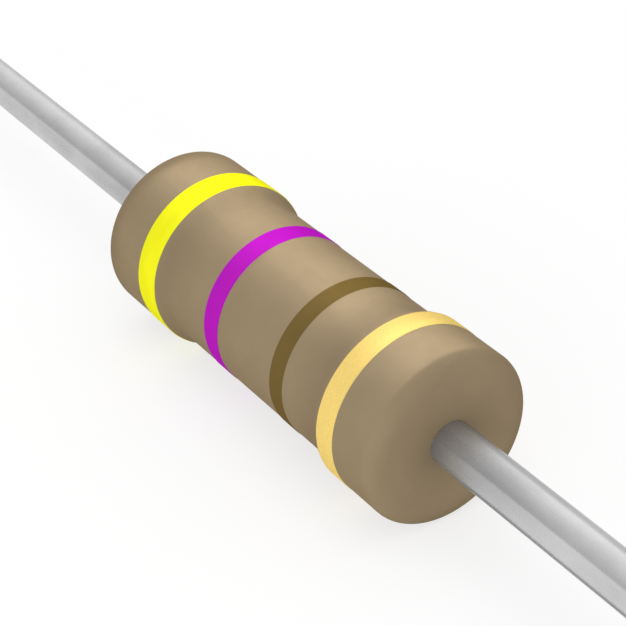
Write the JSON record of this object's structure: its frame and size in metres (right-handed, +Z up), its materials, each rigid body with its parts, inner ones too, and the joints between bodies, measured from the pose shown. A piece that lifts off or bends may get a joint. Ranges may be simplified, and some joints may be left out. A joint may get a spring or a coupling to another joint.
{
  "type": "axial film resistor",
  "caption": "Through-hole film resistor: dog-bone lacquered body with colour-code bands, welded end caps on a ceramic rod and a straight tinned wire lead at each end.",
  "frame": {"origin": "middle of the lacquered body, on the axis of the leads", "axes": "+X along the leads toward the tolerance band, +Z up when the leads lie level"},
  "size_m": [0.0622, 0.0024, 0.0024],
  "materials": {
    "core_ceramic": "fired, matte",
    "carbon": "satin, deposited carbon",
    "cap_metal": "tinned, satin",
    "tinned_wire": "tinned, drawn along the wire",
    "tan_lacquer": "satin lacquer",
    "yellow_paint": "satin paint",
    "violet_paint": "satin paint",
    "brown_paint": "satin paint",
    "gold_paint": "satin metallic paint"
  },
  "bodies": {
    "root": {"core_rod": "core_ceramic", "carbon_film": "carbon", "cap_left": "cap_metal", "cap_right": "cap_metal", "lead_left": "tinned_wire", "lead_right": "tinned_wire", "coating": "tan_lacquer", "band_first": "yellow_paint", "band_second": "violet_paint", "band_multiplier": "brown_paint", "band_tolerance": "gold_paint"}
  },
  "joints": []
}
